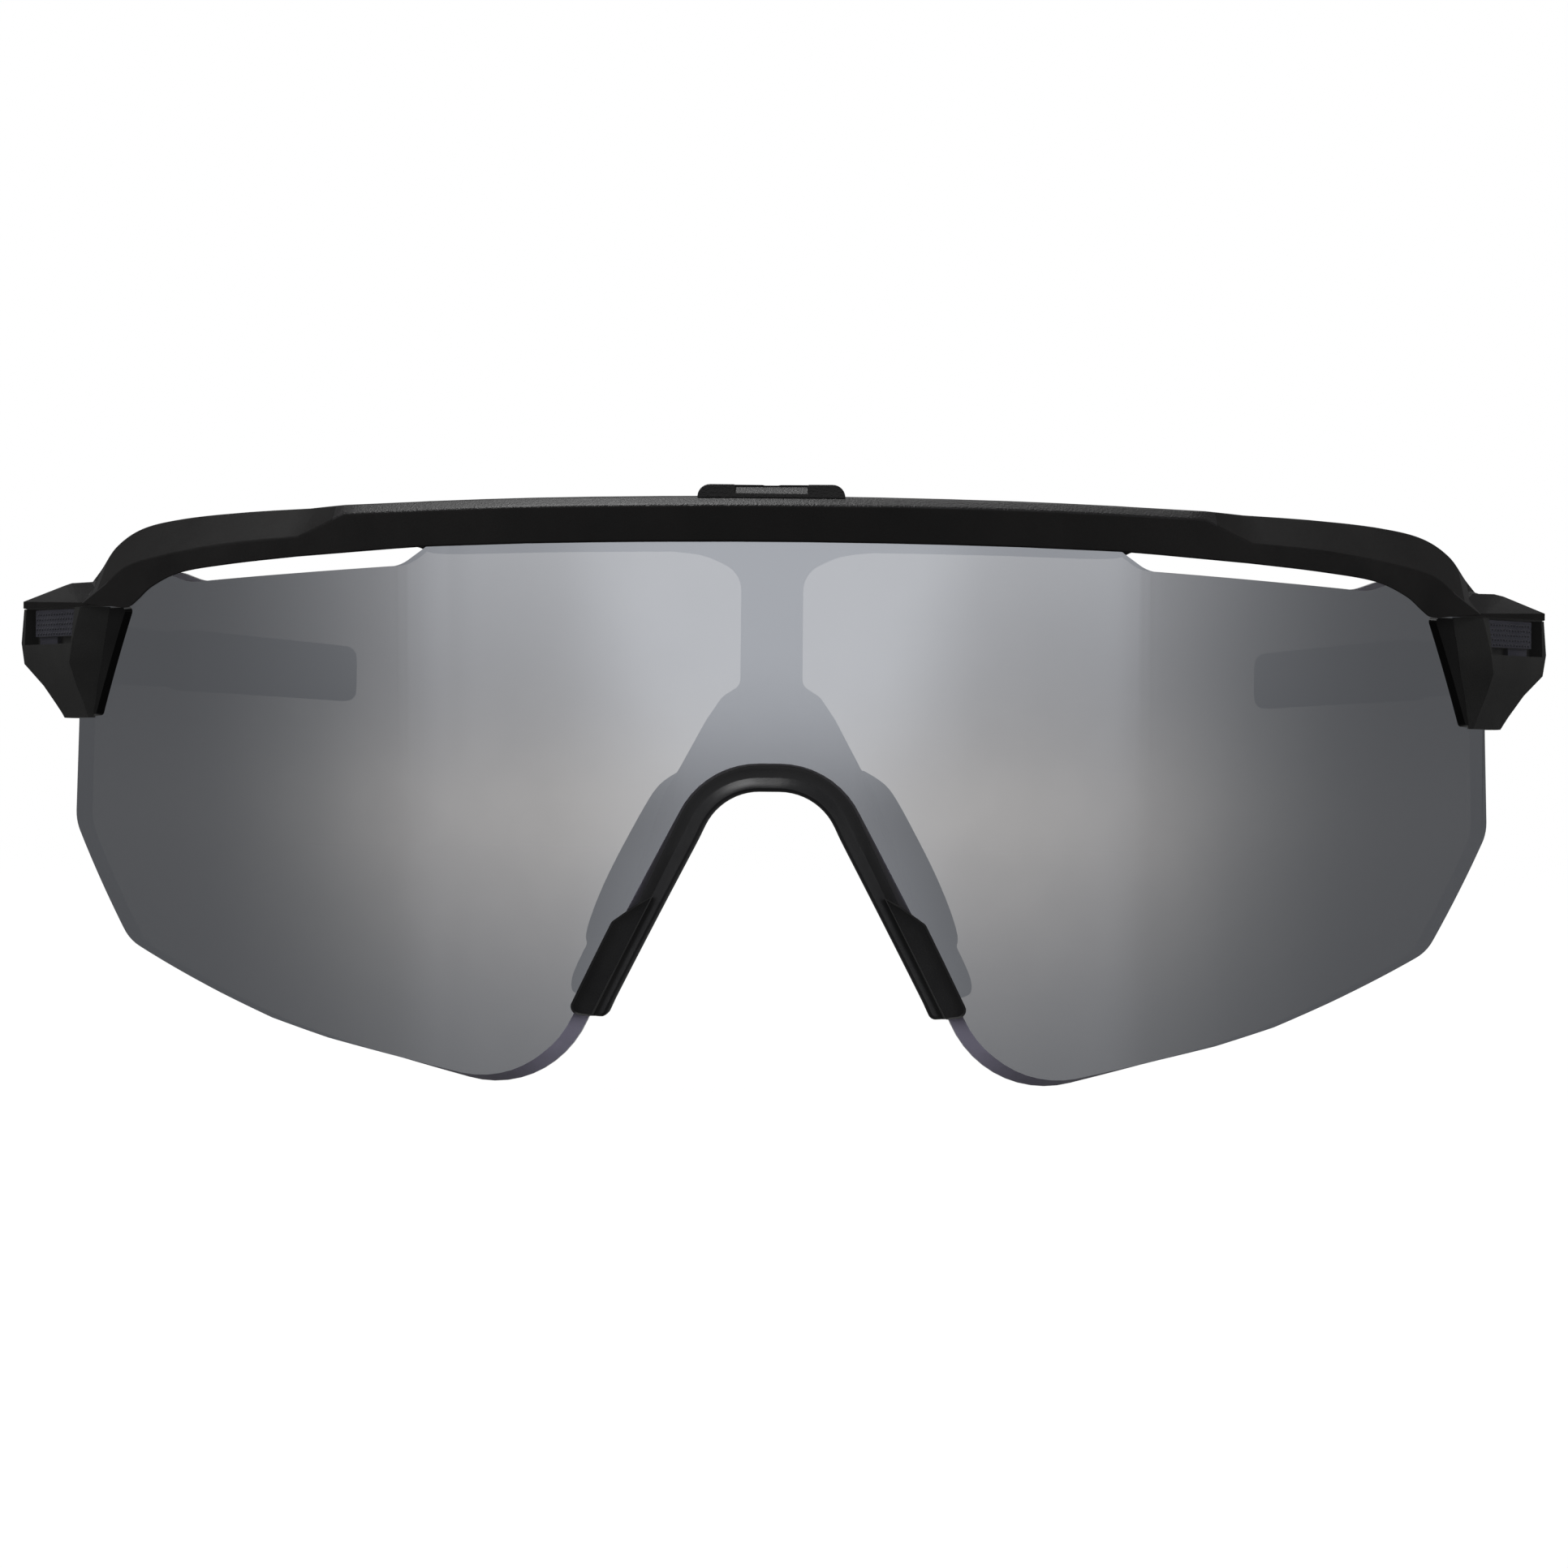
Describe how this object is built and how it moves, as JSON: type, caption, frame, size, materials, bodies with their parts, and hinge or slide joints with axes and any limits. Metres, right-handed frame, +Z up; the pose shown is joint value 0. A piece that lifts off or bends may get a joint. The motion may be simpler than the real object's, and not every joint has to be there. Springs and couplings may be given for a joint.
{
  "type": "wraparound sport sunglasses",
  "caption": "Half-frame sport sunglasses with one curved mirrored shield lens, a nose bridge with soft pads, a release lever and folding arms.",
  "frame": {"origin": "the nose saddle, at the top of the nose opening behind the lens", "axes": "+X to the wearer's left, +Y back along the arms, +Z up, with the arms level as worn"},
  "size_m": [0.145, 0.1651, 0.0526],
  "materials": {
    "frame_black": "fine moulded grain",
    "clamp_black": "satin moulded",
    "bridge_black": "satin moulded",
    "pad_rubber": "soft matt",
    "tip_rubber": "soft matt",
    "mirror_lens": "silver mirror coat on smoke polycarbonate",
    "gasket_black": "gloss",
    "mesh_grey": "dotted",
    "arm_black": "satin moulded",
    "steel": "plain",
    "brass": "plain"
  },
  "bodies": {
    "front": {"bridge_screws": "steel", "brow_frame": "frame_black", "latch_pin": "steel", "latch_spring": "steel", "left_clamp_screw": "steel", "left_end_clamp": "clamp_black", "left_hinge_nut": "brass", "left_hinge_screw": "steel", "left_lens_gasket": "gasket_black", "left_nose_pad": "pad_rubber", "left_vent_mesh": "mesh_grey", "nose_bridge": "bridge_black", "right_clamp_screw": "steel", "right_end_clamp": "clamp_black", "right_hinge_nut": "brass", "right_hinge_screw": "steel", "right_lens_gasket": "gasket_black", "right_nose_pad": "pad_rubber", "right_vent_mesh": "mesh_grey", "shield_lens": "mirror_lens"},
    "left_temple": {"left_temple_arm": "arm_black", "left_temple_tip": "tip_rubber", "left_tip_core": "steel"},
    "right_temple": {"right_temple_arm": "arm_black", "right_temple_tip": "tip_rubber", "right_tip_core": "steel"},
    "latch": {"latch_lever": "frame_black"}
  },
  "joints": [
    {"name": "left_temple_fold", "type": "hinge", "parent": "front", "child": "left_temple", "pos_m": [0.0686, 0.039, 0.013], "axis": [0, 0, 1], "range_deg": [0, 90]},
    {"name": "right_temple_fold", "type": "hinge", "parent": "front", "child": "right_temple", "pos_m": [-0.0686, 0.039, 0.013], "axis": [0, 0, -1], "range_deg": [0, 80]},
    {"name": "latch_lift", "type": "hinge", "parent": "front", "child": "latch", "pos_m": [0, 0.0002, 0.0237], "axis": [-1, 0, 0], "range_deg": [0, 60]}
  ]
}
